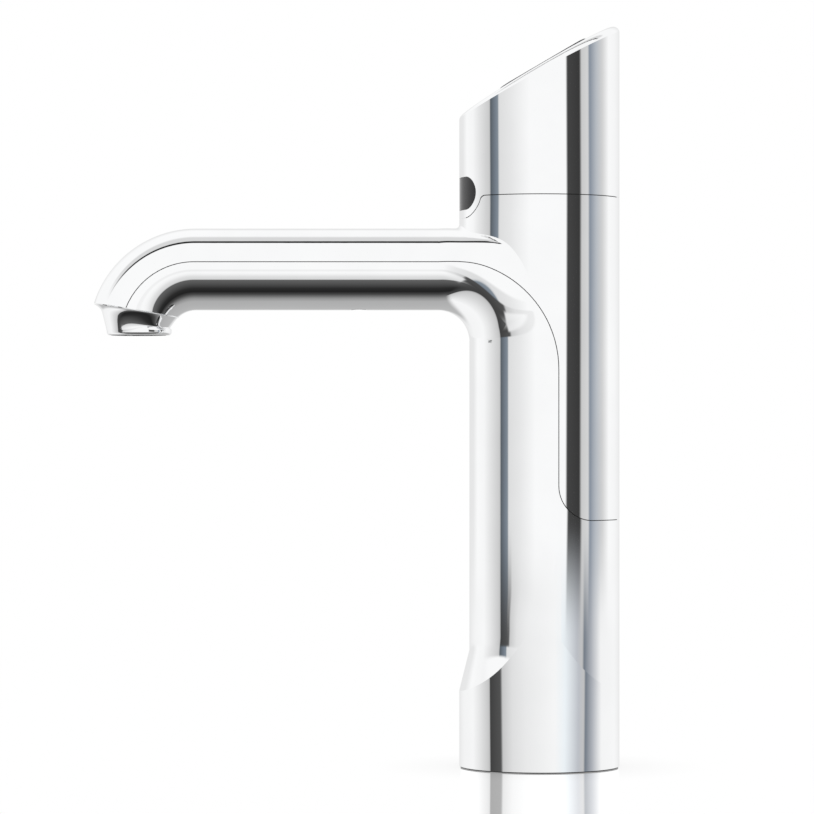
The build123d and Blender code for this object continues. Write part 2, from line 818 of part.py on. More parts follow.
# Frame inside the cover: foot on the body's ledge, strap, and disc that carries the head
strap_rear_x = strap_front_x + frame_thickness
with BuildPart() as neck_frame:
    with BuildSketch(Plane.XY.offset(ledge_top_z + seat_gap)):
        with Locations((frame_foot_x, 0)):
            Rectangle(
                strap_rear_x - frame_foot_x, frame_foot_width, align=(Align.MIN, Align.CENTER)
            )
    extrude(amount=frame_thickness)
    with BuildSketch(Plane.XY.offset(ledge_top_z + seat_gap)):
        with Locations((strap_front_x, 0)):
            Rectangle(frame_thickness, strap_width, align=(Align.MIN, Align.CENTER))
    extrude(amount=disc_top_z - ledge_top_z - seat_gap)
    with BuildSketch(Plane.XY.offset(disc_bottom_z)):
        Circle(disc_radius)
        with Locations((disc_front_x, 0)):
            Rectangle(
                cut_reach, cut_reach, align=(Align.MIN, Align.CENTER), mode=Mode.INTERSECT
            )
        with Locations((cable_hole_x, 0)):
            Circle(cable_hole_radius, mode=Mode.SUBTRACT)
        with Locations(
            (head_screw_side_x, -head_screw_side_y),
            (head_screw_side_x, head_screw_side_y),
            (head_screw_front_x, 0),
        ):
            Circle(head_screw_radius + tube_gap, mode=Mode.SUBTRACT)
    extrude(amount=disc_thickness)
    with BuildSketch(Plane.XY.offset(ledge_top_z)):
        with Locations((frame_screw_x, -frame_screw_y), (frame_screw_x, frame_screw_y)):
            Circle(head_screw_radius + seat_gap)
        with Locations((cable_notch_x, 0)):
            Circle(cable_notch_radius)
    extrude(amount=2 * frame_thickness, mode=Mode.SUBTRACT)
neck_frame.part.label = "neck_frame"
export_step(neck_frame.part, "parts/neck_frame.step")

with BuildPart() as frame_screws:
    for spot_y in (-frame_screw_y, frame_screw_y):
        foot_top_z = ledge_top_z + seat_gap + frame_thickness + tube_gap
        place = Plane(origin=(frame_screw_x, spot_y, foot_top_z))
        add(screw(place, head_screw_radius, frame_screw_length))
frame_screws.part.label = "frame_screws"
export_step(frame_screws.part, "parts/frame_screws.step")

# Key pad: a raised plate whose flange sits under the cap, with four key openings
with BuildPart() as touch_plate:
    with BuildSketch(slope.offset(-plate_bottom)):
        with Locations((pad_u, 0)):
            RectangleRounded(
                pad_length + 2 * pad_flange, pad_width + 2 * pad_flange, pad_corner + pad_flange
            )
    extrude(amount=pad_flange_thickness)
    with BuildSketch(slope.offset(-plate_bottom)):
        with Locations((pad_u, 0)):
            RectangleRounded(pad_length, pad_width, pad_corner)
    extrude(amount=plate_bottom + pad_raise)
    fillet(touch_plate.faces().sort_by(Axis(slope.origin, slope.z_dir))[-1].edges(), radius=pad_edge_fillet)
    with BuildSketch(slope.offset(-plate_bottom)):
        with Locations((pad_u, 0)):
            with GridLocations(key_pitch_u, key_pitch_v, 2, 2):
                RectangleRounded(
                    key_length + 2 * slide_gap, key_width + 2 * slide_gap, key_corner + slide_gap
                )
    extrude(amount=plate_bottom + pad_raise, mode=Mode.SUBTRACT)
touch_plate.part.label = "touch_plate"
export_step(touch_plate.part, "parts/touch_plate.step")

# Four keys, each with the lens that carries its lamp's light
flange_edge = slide_gap + key_flange
key_rows = (
    ("boiling", 1, -1),
    ("chilled", 1, 1),
    ("sparkling", -1, -1),
    ("safety", -1, 1),
)
for key_name, row, column in key_rows:
    key_u = pad_u + row * key_pitch_u / 2
    key_v = column * key_pitch_v / 2
    with BuildPart() as key:
        with BuildSketch(slope.offset(-key_flange_top)):
            with Locations((key_u, key_v)):
                RectangleRounded(key_length, key_width, key_corner)
        extrude(amount=key_flange_top + pad_raise - key_drop)
        fillet(key.faces().sort_by(Axis(slope.origin, slope.z_dir))[-1].edges(), radius=0.5)
        with BuildSketch(slope.offset(-key_flange_top)):
            with Locations((key_u, key_v)):
                RectangleRounded(
                    key_length + 2 * flange_edge, key_width + 2 * flange_edge, key_corner
                )
        extrude(amount=-key_flange_thickness)
        with BuildSketch(slope.offset(-key_flange_top)):
            with Locations((key_u, key_v)):
                Circle(key_stem_radius)
        extrude(amount=key_flange_top - key_stem_end)
        with BuildSketch(slope.offset(pad_raise)):
            with Locations((key_u + lens_offset, key_v)):
                Circle(lens_radius + tube_gap)
        extrude(amount=-key_stem_end - pad_raise, mode=Mode.SUBTRACT)
    key.part.label = f"key_{key_name}"
    export_step(key.part, f"parts/key_{key_name}.step")
    with BuildPart() as lens:
        with BuildSketch(slope.offset(pad_raise - key_drop)):
            with Locations((key_u + lens_offset, key_v)):
                Circle(lens_radius)
        extrude(amount=-key_flange_top - key_flange_thickness - pad_raise + key_drop)
    lens.part.label = f"lens_{key_name}"
    export_step(lens.part, f"parts/lens_{key_name}.step")

with BuildPart() as switch_domes:
    with BuildSketch(slope.offset(-board_depth + led_gap)):
        with Locations((pad_u, 0)):
            with GridLocations(key_pitch_u, key_pitch_v, 2, 2):
                Circle(dome_radius)
    extrude(amount=dome_height - led_gap, taper=dome_taper)
switch_domes.part.label = "switch_domes"
export_step(switch_domes.part, "parts/switch_domes.step")

with BuildPart() as key_leds:
    with BuildSketch(slope.offset(-board_depth + led_gap)):
        with Locations((pad_u + lens_offset, 0)):
            with GridLocations(key_pitch_u, key_pitch_v, 2, 2):
                Rectangle(led_length, led_width)
    extrude(amount=led_height)
key_leds.part.label = "key_leds"
export_step(key_leds.part, "parts/key_leds.step")

with BuildPart() as touch_board:
    with BuildSketch(slope.offset(-board_bottom)):
        with Locations((pad_u, 0)):
            RectangleRounded(board_length, board_width, board_corner)
            with GridLocations(2 * board_screw_u, 2 * board_screw_v, 2, 2):
                Circle(board_screw_radius + seat_gap, mode=Mode.SUBTRACT)
    extrude(amount=board_thickness)
touch_board.part.label = "touch_board"
export_step(touch_board.part, "parts/touch_board.step")

with BuildPart() as board_screws:
    for side_u in (-board_screw_u, board_screw_u):
        for side_v in (-board_screw_v, board_screw_v):
            spot = slope.offset(tube_gap - board_depth).from_local_coords((pad_u + side_u, side_v))
            place = Plane(origin=spot, x_dir=slope.x_dir, z_dir=slope.z_dir)
            add(screw(place, board_screw_radius, board_screw_length))
board_screws.part.label = "board_screws"
export_step(board_screws.part, "parts/board_screws.step")

# Plug on the underside of the key board, where the cable ends
plug_u = (cable_head_x - board_bottom * slope_sin) / slope_cos
with BuildPart() as head_plug:
    with BuildSketch(slope.offset(-board_bottom - led_gap)):
        with Locations((plug_u, 0)):
            RectangleRounded(plug_size, plug_size, plug_size / 6)
    extrude(amount=-plug_height)
    with BuildSketch(Plane.XY.offset(plug_socket_z)):
        with Locations((cable_head_x, 0)):
            Circle(cable_radius + seat_gap)
    extrude(amount=-plug_size, mode=Mode.SUBTRACT)
head_plug.part.label = "head_plug"
export_step(head_plug.part, "parts/head_plug.step")

# Sensor window, and the board with its two eyes behind it
with BuildPart() as sensor_window:
    with BuildSketch(Plane.XY.offset(window_z - window_height)):
        Circle(column_radius - window_outer_gap)
        Circle(head_room_radius + seat_gap, mode=Mode.SUBTRACT)
    extrude(amount=2 * window_height)
    with BuildSketch(Plane.YZ):
        with Locations((0, window_z)):
            SlotOverall(window_width - 2 * seat_gap, window_height - 2 * seat_gap)
    extrude(amount=-2 * column_radius, mode=Mode.INTERSECT)
sensor_window.part.label = "sensor_window"
export_step(sensor_window.part, "parts/sensor_window.step")

with BuildPart() as sensor_board:
    with BuildSketch(Plane.YZ.offset(sensor_board_x)):
        with Locations((0, window_z)):
            Rectangle(sensor_board_width, sensor_board_height)
        with Locations((-sensor_screw_y, window_z), (sensor_screw_y, window_z)):
            Circle(sensor_screw_radius + seat_gap, mode=Mode.SUBTRACT)
    extrude(amount=-sensor_board_thickness)
sensor_board.part.label = "sensor_board"
export_step(sensor_board.part, "parts/sensor_board.step")

with BuildPart() as sensor_screws:
    for spot_y in (-sensor_screw_y, sensor_screw_y):
        place = Plane(origin=(sensor_face_x - tube_gap, spot_y, window_z), z_dir=(-1, 0, 0))
        add(screw(place, sensor_screw_radius, sensor_screw_length))
sensor_screws.part.label = "sensor_screws"
export_step(sensor_screws.part, "parts/sensor_screws.step")

with BuildPart() as sensor_eyes:
    with BuildSketch(Plane.YZ.offset(sensor_face_x - led_gap)):
        with Locations((-eye_spacing / 2, window_z), (eye_spacing / 2, window_z)):
            Circle(eye_radius)
    extrude(amount=-eye_length)
    fillet(sensor_eyes.faces().sort_by(Axis.X)[:2].edges(), radius=eye_radius * eye_round_share)
sensor_eyes.part.label = "sensor_eyes"
export_step(sensor_eyes.part, "parts/sensor_eyes.step")

# Cable from the plug in the foot up to the head
low_bend_z, rear_low_z, rear_high_z, high_bend_z = cable_bend_z
with BuildPart() as control_cable:
    with BuildLine():
        FilletPolyline(
            (cable_x, 0, cable_low_z),
            (cable_x, 0, low_bend_z),
            (cable_rear_x, 0, rear_low_z),
            (cable_rear_x, 0, rear_high_z),
            (cable_head_x, 0, high_bend_z),
            (cable_head_x, 0, cable_top_z),
            radius=cable_turn,
        )
    with BuildSketch(Plane.XY.offset(cable_low_z)):
        with Locations((cable_x, 0)):
            Circle(cable_radius)
    sweep()
control_cable.part.label = "control_cable"
export_step(control_cable.part, "parts/control_cable.step")

with BuildPart() as cable_plug:
    with BuildSketch(Plane.XY.offset(cable_plug_bottom_z)):
        with Locations((cable_x, 0)):
            Circle(cable_plug_radius)
    extrude(amount=cable_low_z + cable_plug_socket - cable_plug_bottom_z)
    with BuildSketch(Plane.XY.offset(cable_low_z - seat_gap)):
        with Locations((cable_x, 0)):
            Circle(cable_radius + tube_gap)
    extrude(amount=cable_plug_socket + 1, mode=Mode.SUBTRACT)
    with BuildSketch(Plane.XY.offset(cable_plug_bottom_z)):
        with Locations((cable_x, 0)):
            Circle(cable_plug_radius - plug_wall)
    extrude(amount=connector_socket, mode=Mode.SUBTRACT)
cable_plug.part.label = "cable_plug"
export_step(cable_plug.part, "parts/cable_plug.step")

# Water tubes with their push-in connectors in the foot
boiling_tube = upright_tube(
    tube_start_z + seat_gap,
    boiling_x,
    0,
    boiling_z,
    boiling_end_x,
    boiling_turn,
    boiling_radius,
)
boiling_tube.label = "boiling_tube"
export_step(boiling_tube, "parts/boiling_tube.step")
for water, side_y in (("chilled", -cold_y), ("sparkling", cold_y)):
    cold_tube = upright_tube(
        tube_start_z + seat_gap, cold_x, side_y, cold_z, cold_end_x, cold_turn, cold_radius
    )
    cold_tube.label = f"{water}_tube"
    export_step(cold_tube, f"parts/{water}_tube.step")
    inlet = connector(cold_x, side_y, cold_radius)
    inlet.label = f"{water}_inlet"
    export_step(inlet, f"parts/{water}_inlet.step")
boiling_inlet = connector(boiling_x, 0, boiling_radius)
boiling_inlet.label = "boiling_inlet"
export_step(boiling_inlet, "parts/boiling_inlet.step")

with BuildPart() as connector_plate:
    with BuildSketch(Plane.XY.offset(insert_height)):
        Circle(connector_plate_radius)
        with Locations(*tube_places):
            Circle(connector_radius + tube_gap, mode=Mode.SUBTRACT)
        with Locations((cable_x, 0)):
            Circle(cable_plug_radius + tube_gap, mode=Mode.SUBTRACT)
    extrude(amount=connector_plate_thickness)
connector_plate.part.label = "connector_plate"
export_step(connector_plate.part, "parts/connector_plate.step")

with BuildPart() as tube_clips:
    for clip_z, cable_at in ((clip_low_z, cable_x), (clip_high_z, cable_rear_x)):
        with BuildSketch(Plane.XY.offset(clip_z)):
            with Locations(((clip_front_x + clip_rear_x) / 2, 0)):
                RectangleRounded(clip_rear_x - clip_front_x, clip_width, clip_corner)
            with Locations(tube_places[0]):
                Circle(boiling_radius + seat_gap, mode=Mode.SUBTRACT)
            with Locations(*tube_places[1:]):
                Circle(cold_radius + seat_gap, mode=Mode.SUBTRACT)
            with Locations((cable_at, 0)):
                Circle(cable_radius + seat_gap, mode=Mode.SUBTRACT)
        extrude(amount=clip_thickness)
tube_clips.part.label = "tube_clips"
export_step(tube_clips.part, "parts/tube_clips.step")

# Clip inside the spout: the screw below draws it down, and its lugs hold the cover
with BuildPart() as spout_clip:
    with BuildSketch(Plane.YZ.offset(spout_screw_x - spout_clip_length / 2)):
        with Locations((0, spout_z)):
            Circle(spout_clip_radius)
    extrude(amount=spout_clip_length)
    with BuildSketch(Plane.YZ.offset(spout_screw_x - lug_length / 2)):
        with Locations((0, spout_z)):
            Circle(lug_radius)
        with Locations((0, lug_low_z)):
            Rectangle(
                cut_reach,
                lug_high_z - lug_low_z,
                align=(Align.CENTER, Align.MIN),
                mode=Mode.INTERSECT,
            )
    extrude(amount=lug_length)
    with BuildSketch(Plane.YZ.offset(spout_screw_x - spout_clip_length)):
        with Locations((0, boiling_z)):
            Circle(boiling_radius + seat_gap)
        with Locations((-cold_y, cold_z), (cold_y, cold_z)):
            Circle(cold_radius + seat_gap)
        with Locations((0, spout_boss_z + seat_gap)):
            Rectangle(cut_reach, cut_reach, align=(Align.CENTER, Align.MAX))
    extrude(amount=2 * spout_clip_length, mode=Mode.SUBTRACT)
    with BuildSketch(Plane.XY.offset(spout_boss_z)):
        with Locations((spout_screw_x, 0)):
            Circle(spout_screw_radius + tube_gap)
    extrude(amount=spout_screw_length - spout_screw_depth, mode=Mode.SUBTRACT)
spout_clip.part.label = "spout_clip"
export_step(spout_clip.part, "parts/spout_clip.step")

spout_screw_z = spout_z - spout_radius + spout_screw_depth - tube_gap
spout_screw = screw(
    Plane(origin=(spout_screw_x, 0, spout_screw_z), z_dir=(0, 0, -1)),
    spout_screw_radius,
    spout_screw_length,
)
spout_screw.label = "spout_screw"
export_step(spout_screw, "parts/spout_screw.step")

# Nozzle: collar below the spout's mouth, black insert with the three outlets, and its ring
with BuildPart() as spigot:
    with BuildSketch(Plane.XY.offset(nozzle_straight_z)):
        with Locations((nozzle_x, 0)):
            Circle(spigot_radius)
    extrude(amount=spout_z - nozzle_straight_z)
    split(bisect_by=mouth.offset(spigot_height), keep=Keep.BOTTOM)

collar_top = mouth.offset(-joint_gap)
with BuildPart() as nozzle_collar:
    with BuildSketch(collar_top):
        with Locations((mouth_shift, 0)):
            Ellipse(mouth_half, spout_radius)
    for drop, radius in zip(neck_drops, neck_radii):
        with BuildSketch(mouth.offset(-drop)):
            Circle(radius)
    for level in (nozzle_straight_z, nozzle_bottom_z):
        with BuildSketch(Plane.XY.offset(level)):
            with Locations((nozzle_x, 0)):
                Circle(nozzle_radius)
    loft()
    fillet(nozzle_collar.faces().sort_by(Axis.Z)[0].edges(), radius=nozzle_edge)
    add(spigot.part)
    with BuildSketch(Plane.XY.offset(nozzle_bottom_z)):
        with Locations((nozzle_x, 0)):
            Circle(nozzle_bore_radius)
    extrude(amount=spout_z - nozzle_bottom_z, mode=Mode.SUBTRACT)
nozzle_collar.part.label = "nozzle_collar"
export_step(nozzle_collar.part, "parts/nozzle_collar.step")

insert_low_z = nozzle_bottom_z + insert_recess
socket_z = tube_end_z - seat_gap
with BuildPart() as nozzle_insert:
    with BuildSketch(Plane.XY.offset(insert_low_z)):
        with Locations((nozzle_x, 0)):
            Circle(nozzle_bore_radius - seat_gap)
    extrude(amount=insert_top_z - insert_low_z)
    with BuildSketch(Plane.XY.offset(insert_low_z)):
        with Locations((boiling_end_x, 0)):
            Circle(boiling_radius - tube_wall)
        with Locations((cold_end_x, -cold_y), (cold_end_x, cold_y)):
            Circle(cold_radius - tube_wall)
    extrude(amount=insert_top_z - insert_low_z, mode=Mode.SUBTRACT)
    with BuildSketch(Plane.XY.offset(socket_z)):
        with Locations((boiling_end_x, 0)):
            Circle(boiling_radius + tube_gap)
        with Locations((cold_end_x, -cold_y), (cold_end_x, cold_y)):
            Circle(cold_radius + tube_gap)
    extrude(amount=insert_top_z - socket_z, mode=Mode.SUBTRACT)
    with BuildSketch(Plane.XY.offset(ring_z - ring_radius - tube_gap)):
        with Locations((nozzle_x, 0)):
            Circle(nozzle_bore_radius)
            Circle(nozzle_bore_radius - 2 * ring_radius - tube_gap, mode=Mode.SUBTRACT)
    extrude(amount=2 * (ring_radius + tube_gap), mode=Mode.SUBTRACT)
nozzle_insert.part.label = "nozzle_insert"
export_step(nozzle_insert.part, "parts/nozzle_insert.step")

with BuildPart() as nozzle_oring:
    with Locations((nozzle_x, 0, ring_z)):
        Torus(nozzle_bore_radius - ring_radius - tube_gap / 2, ring_radius - tube_gap / 4)
nozzle_oring.part.label = "nozzle_oring"
export_step(nozzle_oring.part, "parts/nozzle_oring.step")

# Base insert with the socket for the threaded shank, its screws, and the seal on the deck
with BuildPart() as base_insert:
    with BuildSketch():
        Circle(insert_radius)
        Circle(socket_radius, mode=Mode.SUBTRACT)
        with PolarLocations(base_screw_circle, 3, start_angle=base_screw_turn):
            Circle(base_screw_radius + seat_gap, mode=Mode.SUBTRACT)
    extrude(amount=insert_height - seat_gap)
    with BuildSketch():
        with PolarLocations(base_screw_circle, 3, start_angle=base_screw_turn):
            Circle(base_screw_radius * screw_head_share + seat_gap)
    extrude(amount=base_screw_depth, mode=Mode.SUBTRACT)
base_insert.part.label = "base_insert"
export_step(base_insert.part, "parts/base_insert.step")

with BuildPart() as base_screws:
    for angle in (base_screw_turn, base_screw_turn + 120, base_screw_turn + 240):
        spot_x = base_screw_circle * cos(radians(angle))
        spot_y = base_screw_circle * sin(radians(angle))
        place = Plane(origin=(spot_x, spot_y, base_screw_depth - tube_gap), z_dir=(0, 0, -1))
        add(screw(place, base_screw_radius, base_screw_length))
base_screws.part.label = "base_screws"
export_step(base_screws.part, "parts/base_screws.step")

with BuildPart() as base_seal:
    with BuildSketch():
        Circle(foot_seal_rim)
        Circle(foot_seal_inner, mode=Mode.SUBTRACT)
    extrude(amount=foot_gap - tube_gap)
    with BuildSketch():
        Circle(foot_seal_outer)
        Circle(foot_seal_inner, mode=Mode.SUBTRACT)
    extrude(amount=foot_seal_height)
base_seal.part.label = "base_seal"
export_step(base_seal.part, "parts/base_seal.step")
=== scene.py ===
"""Looks of a boiling water tap: chromed column and spout, slanted key head, white studio.

Laid out as an add-on: settings, one operator for each group of pieces and one for the stage,
and a sidebar panel that lists them. Metres, +Z up, the spout points to -X.
"""

import json
from math import atan2, cos, hypot, pi, radians, sin

import bpy
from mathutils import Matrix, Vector
from mathutils.bvhtree import BVHTree
from mathutils.interpolate import poly_3d_calc


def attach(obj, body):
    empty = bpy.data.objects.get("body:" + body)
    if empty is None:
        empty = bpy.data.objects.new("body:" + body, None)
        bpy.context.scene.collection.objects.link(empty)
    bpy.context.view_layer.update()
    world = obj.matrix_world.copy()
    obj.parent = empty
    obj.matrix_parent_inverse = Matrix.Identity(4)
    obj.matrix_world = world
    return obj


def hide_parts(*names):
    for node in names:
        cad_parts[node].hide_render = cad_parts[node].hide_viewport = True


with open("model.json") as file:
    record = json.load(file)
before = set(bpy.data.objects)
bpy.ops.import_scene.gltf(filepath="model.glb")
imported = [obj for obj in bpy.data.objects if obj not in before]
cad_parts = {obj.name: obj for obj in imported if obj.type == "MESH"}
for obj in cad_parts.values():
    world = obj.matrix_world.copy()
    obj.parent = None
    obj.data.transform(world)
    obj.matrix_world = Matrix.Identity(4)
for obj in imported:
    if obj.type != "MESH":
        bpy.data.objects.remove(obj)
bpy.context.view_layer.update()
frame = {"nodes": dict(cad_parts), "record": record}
nodes = frame["nodes"]
record = frame["record"]

bl_info = {
    "name": "Boiling water tap",
    "version": (1, 0, 0),
    "blender": (4, 5, 0),
    "location": "View3D > Sidebar > Tap",
    "description": "Finishes and studio for a deck-mounted boiling water tap",
    "category": "Object",
}


class TapFinishes(bpy.types.PropertyGroup):
    """Colours and surface depths of the tap's finishes."""

    chrome: bpy.props.FloatVectorProperty(
        name="Chrome",
        description="Reflected colour of the chrome plate",
        subtype="COLOR",
        size=3,
        default=(0.955, 0.96, 0.965),
    )
    chrome_ripple: bpy.props.FloatProperty(
        name="Plating ripple",
        description="Depth of the plate's faint waves",
        default=0.0000006,
        unit="LENGTH",
        precision=7,
    )
    window: bpy.props.FloatVectorProperty(
        name="Window",
        description="Colour of the sensor window",
        subtype="COLOR",
        size=3,
        default=(0.006, 0.006, 0.007),
    )
    mould_grain: bpy.props.FloatProperty(
        name="Mould grain",
        description="Depth of the grain on moulded plastic",
        default=0.00002,
        unit="LENGTH",
        precision=6,
    )


class TapStudio(bpy.types.PropertyGroup):
    """Camera, floor and the soft tent round the tap."""

    camera_side: bpy.props.FloatProperty(
        name="Camera side",
        description="Camera's place along X, level with the picture's middle",
        default=-0.0496,
        unit="LENGTH",
    )
    camera_distance: bpy.props.FloatProperty(
        name="Camera distance",
        description="Camera's distance in front of the column's axis",
        default=1.419,
        unit="LENGTH",
    )
    camera_height: bpy.props.FloatProperty(
        name="Camera height",
        description="Camera's height above the deck",
        default=0.128,
        unit="LENGTH",
    )
    lens: bpy.props.FloatProperty(
        name="Lens",
        description="Focal length on a 36 mm sensor, in millimetres",
        default=167.4,
    )
    lens_rise: bpy.props.FloatProperty(
        name="Lens rise",
        description="Upward shift of the lens, as a share of the frame",
        default=0.0221,
    )
    floor_size: bpy.props.FloatProperty(
        name="Floor size", description="Side of the floor", default=6.0, unit="LENGTH"
    )
    floor_gloss: bpy.props.FloatProperty(
        name="Floor gloss",
        description="Share of the floor's look that mirrors the tap",
        default=0.78,
        subtype="FACTOR",
    )
    tent_rear: bpy.props.FloatProperty(
        name="Tent behind",
        description="Brightness of the tent behind the tap, which edges the chrome",
        default=0.8,
        subtype="FACTOR",
    )


class TapElbow(bpy.types.PropertyGroup):
    """The elbow's sizes, which the plating's smooth sweep follows."""

    turn_x: bpy.props.FloatProperty(
        name="Bend centre X",
        description="Place of the bend's axis along X",
        default=-0.0379,
        unit="LENGTH",
        precision=4,
    )
    turn_z: bpy.props.FloatProperty(
        name="Bend centre Z",
        description="Height of the bend's axis",
        default=0.1593,
        unit="LENGTH",
        precision=4,
    )
    bend: bpy.props.FloatProperty(
        name="Inner bend",
        description="Radius of the bend under the spout",
        default=0.0117,
        unit="LENGTH",
        precision=4,
    )
    spout: bpy.props.FloatProperty(
        name="Spout radius",
        description="Radius of the spout before it widens",
        default=0.0153,
        unit="LENGTH",
        precision=4,
    )
    column: bpy.props.FloatProperty(
        name="Column radius",
        description="Radius of the column behind the elbow",
        default=0.03,
        unit="LENGTH",
        precision=4,
    )
    front_length: bpy.props.FloatProperty(
        name="Front length",
        description="Half-length of the oval that the column's front has",
        default=0.02735,
        unit="LENGTH",
        precision=5,
    )
    front_depth: bpy.props.FloatProperty(
        name="Front depth",
        description="Half-depth of the oval that the column's front has",
        default=0.02984,
        unit="LENGTH",
        precision=5,
    )
    flare_inside: bpy.props.FloatProperty(
        name="Flare inside",
        description="Turn over which the underside widens",
        default=radians(85),
        subtype="ANGLE",
    )
    flare_outside: bpy.props.FloatProperty(
        name="Flare outside",
        description="Turn over which the crest widens",
        default=radians(60),
        subtype="ANGLE",
    )


class Wire:
    """An output socket of a node tree, on which arithmetic adds the Math nodes."""

    def __init__(self, tree, socket=None):
        self.tree = tree
        self.socket = socket

    def node(self, kind, settings, inputs):
        """A new node with its settings made and its sockets given values or wires."""
        made = self.tree.nodes.new("ShaderNode" + kind)
        for name, value in settings.items():
            if name == "stops":
                set_stops(made.color_ramp, value)
            else:
                setattr(made, name, value)
        for name, value in inputs.items():
            if isinstance(value, Wire):
                self.tree.links.new(value.socket, made.inputs[name])
            else:
                made.inputs[name].default_value = value
        return Wire(self.tree, made.outputs[0] if made.outputs else None)

    def output(self, name):
        """Another output of the node that this socket is on."""
        return Wire(self.tree, self.socket.node.outputs[name])

    def maths(self, operation, first, second):
        return self.node("Math", {"operation": operation}, {0: first, 1: second})

    def __add__(self, other):
        return self.maths("ADD", self, other)

    def __sub__(self, other):
        return self.maths("SUBTRACT", self, other)

    def __rsub__(self, other):
        return self.maths("SUBTRACT", other, self)

    def __mul__(self, other):
        return self.maths("MULTIPLY", self, other)

    __radd__ = __add__
    __rmul__ = __mul__

    def step(self, low, high):
        """0 below the low value, 1 above the high one, and smooth between them."""
        return self.node(
            "MapRange",
            {"interpolation_type": "SMOOTHSTEP"},
            {"Value": self, "From Min": low, "From Max": high},
        )

    def colour(self, low, high):
        """Goes from the low colour to the high one as this value goes from 0 to 1."""
        mixed = self.node("Mix", {"data_type": "RGBA"}, {0: self, 6: low, 7: high})
        return mixed.output(2)


def set_stops(ramp, stops):
    """Gives a colour ramp its stops: a place from 0 to 1 and a colour each."""
    for element, (place, colour) in zip(ramp.elements, (stops[0], stops[-1])):
        element.position = place
        element.color = colour
    for place, colour in stops[1:-1]:
        ramp.elements.new(place).color = colour


def grey(level):
    """Neutral colour of one brightness."""
    return (level, level, level, 1.0)


def new_material(name):
    """An empty material and the wire that its nodes are added with."""
    material = bpy.data.materials.new(name)
    material.use_nodes = True
    material.node_tree.nodes.clear()
    return material, Wire(material.node_tree)


def close_material(material, wire, sockets):
    """Ends a material with one Principled shader that has these sockets."""
    shader = wire.node("BsdfPrincipled", {}, sockets)
    wire.node("OutputMaterial", {}, {"Surface": shader})
    return material


def clouds(wire, scale, detail=3.0, stretch=(1.0, 1.0, 1.0)):
    """Noise on the object's own coordinates, with so many waves to the metre."""
    place = wire.node("TexCoord", {}, {}).output("Object")
    turned = wire.node("Mapping", {}, {"Vector": place, "Scale": stretch})
    return wire.node("TexNoise", {}, {"Vector": turned, "Scale": scale, "Detail": detail})


def relief(wire, height, depth):
    """Normal of a surface with this height map at a depth in metres."""
    return wire.node("Bump", {}, {"Strength": 1.0, "Distance": depth, "Height": height})


def chrome_plate(finishes):
    material, wire = new_material("chrome_plate")
    haze = clouds(wire, 38.0)
    waves = clouds(wire, 90.0, 1.0)
    dim = tuple(0.975 * share for share in finishes.chrome)
    sockets = {
        "Base Color": haze.step(0.35, 0.7).colour((*dim, 1.0), (*finishes.chrome, 1.0)),
        "Metallic": 1.0,
        "Roughness": 0.012 + haze * 0.018,
        "Normal": relief(wire, waves, finishes.chrome_ripple),
    }
    return close_material(material, wire, sockets)


def gloss_black(name, colour):
    material, wire = new_material(name)
    film = clouds(wire, 60.0)
    lifted = tuple(1.6 * share for share in colour)
    sockets = {
        "Base Color": film.colour((*colour, 1.0), (*lifted, 1.0)),
        "Roughness": 0.03 + film * 0.05,
        "Specular IOR Level": 0.22,
        "Normal": relief(wire, clouds(wire, 140.0, 1.0), 0.000004),
    }
    return close_material(material, wire, sockets)


def moulded_plastic(name, colour, finishes):
    material, wire = new_material(name)
    grain = clouds(wire, 2600.0, 2.0)
    flow = clouds(wire, 45.0)
    dim = tuple(0.86 * share for share in colour)
    sockets = {
        "Base Color": flow.colour((*dim, 1.0), (*colour, 1.0)),
        "Roughness": 0.38 + grain * 0.16,
        "Normal": relief(wire, grain, finishes.mould_grain),
    }
    return close_material(material, wire, sockets)


def soft_rubber(name, colour):
    material, wire = new_material(name)
    bloom = clouds(wire, 180.0)
    lifted = tuple(min(1.0, 1.25 * share + 0.01) for share in colour)
    sockets = {
        "Base Color": bloom.colour((*colour, 1.0), (*lifted, 1.0)),
        "Roughness": 0.55 + bloom * 0.25,
        "Normal": relief(wire, clouds(wire, 900.0, 2.0), 0.00003),
    }
    return close_material(material, wire, sockets)


def drawn_metal(name, colour, stretch):
    """Machined or drawn metal with fine lines along one way."""
    material, wire = new_material(name)
    lines = clouds(wire, 700.0, 4.0, stretch)
    stain = clouds(wire, 55.0)
    dim = tuple(0.8 * share for share in colour)
    sockets = {
        "Base Color": stain.colour((*dim, 1.0), (*colour, 1.0)),
        "Metallic": 1.0,
        "Roughness": 0.2 + lines * 0.22,
        "Normal": relief(wire, lines, 0.000008),
    }
    return close_material(material, wire, sockets)


def lamp_lens(name, tint):
    material, wire = new_material(name)
    milk = clouds(wire, 500.0)
    dim = tuple(0.9 * share for share in tint)
    sockets = {
        "Base Color": milk.colour((*dim, 1.0), (*tint, 1.0)),
        "Roughness": 0.16 + milk * 0.1,
        "Subsurface Weight": 0.3,
        "Subsurface Radius": (0.002, 0.002, 0.002),
        "Subsurface Scale": 1.0,
    }
    return close_material(material, wire, sockets)


def board_lacquer(name, colour):
    material, wire = new_material(name)
    place = wire.node("TexCoord", {}, {}).output("Object")
    tracks = wire.node(
        "TexVoronoi",
        {"feature": "DISTANCE_TO_EDGE", "distance": "MANHATTAN"},
        {"Vector": place, "Scale": 420.0},
    )
    copper = tracks.step(0.05, 0.12)
    lifted = tuple(1.9 * share for share in colour)
    sockets = {
        "Base Color": copper.colour((*lifted, 1.0), (*colour, 1.0)),
        "Roughness": 0.24 + copper * 0.1,
        "Normal": relief(wire, 1.0 - copper, 0.00003),
    }
    return close_material(material, wire, sockets)


along_axis = (1.0, 1.0, 0.06)
across_axis = (0.06, 1.0, 1.0)


